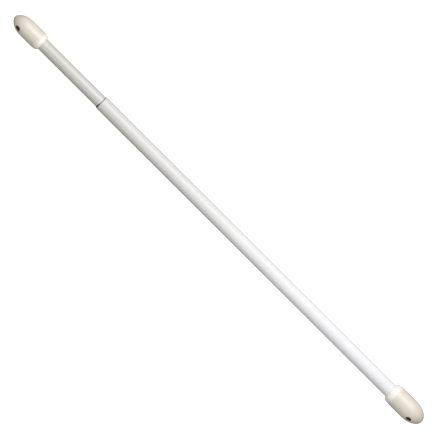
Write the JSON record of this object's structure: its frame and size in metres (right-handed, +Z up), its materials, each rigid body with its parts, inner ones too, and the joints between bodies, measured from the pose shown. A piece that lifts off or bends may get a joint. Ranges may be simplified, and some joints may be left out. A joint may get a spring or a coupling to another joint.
{
  "type": "telescopic door security bar",
  "caption": "Telescopic bar that braces a sliding door shut: two white steel tubes with a hidden twist lock and a cream boot with a bracket-pin hole on each end.",
  "frame": {"origin": "centre of the flat nose face of the fixed end, which is the boot on the outer tube", "axes": "+X out of the fixed end's nose face, so the bar lies along -X to the sliding end; both pin holes run along Y; +Z up"},
  "size_m": [0.931, 0.0364, 0.0364],
  "materials": {
    "outer_tube_paint": "satin white powder coat",
    "inner_tube_paint": "satin white powder coat",
    "cap_rubber": "smooth cream vinyl rubber",
    "zinc_steel": "bright zinc plate",
    "black_rubber": "matt",
    "grey_nylon": "moulded nylon",
    "natural_nylon": "moulded nylon",
    "brass": "turned"
  },
  "bodies": {
    "outer": {"outer_tube": "outer_tube_paint", "outer_end_cap": "cap_rubber", "outer_cap_washer": "zinc_steel", "mouth_bush": "black_rubber"},
    "sleeve": {"expander_sleeve": "grey_nylon", "drag_ring_1": "black_rubber", "drag_ring_2": "black_rubber"},
    "cone": {"cone_nut": "natural_nylon", "cone_insert": "brass"},
    "inner": {"inner_tube": "inner_tube_paint", "stud_plug": "grey_nylon", "lock_stud": "zinc_steel", "plug_lock_washer": "zinc_steel", "plug_nut": "zinc_steel", "thrust_washer": "zinc_steel", "stop_washer": "zinc_steel", "stop_nut": "zinc_steel", "plug_pin_1": "zinc_steel", "plug_pin_2": "zinc_steel", "inner_end_cap": "cap_rubber", "inner_cap_washer": "zinc_steel"}
  },
  "joints": [
    {"name": "extend", "type": "slide", "parent": "outer", "child": "sleeve", "axis": [-1, 0, 0], "range_m": [-0.131, 0.33]},
    {"name": "twist", "type": "hinge", "parent": "sleeve", "child": "inner", "pos_m": [-0.3, 0, 0], "axis": [1, 0, 0], "range_deg": [0, 540]},
    {"name": "cone_travel", "type": "slide", "parent": "sleeve", "child": "cone", "axis": [-1, 0, 0], "range_m": [0, 0.00225]}
  ],
  "couplings": [
    {"joint": "cone_travel", "follows": "twist", "m_per_rad": 0.00023873}
  ]
}
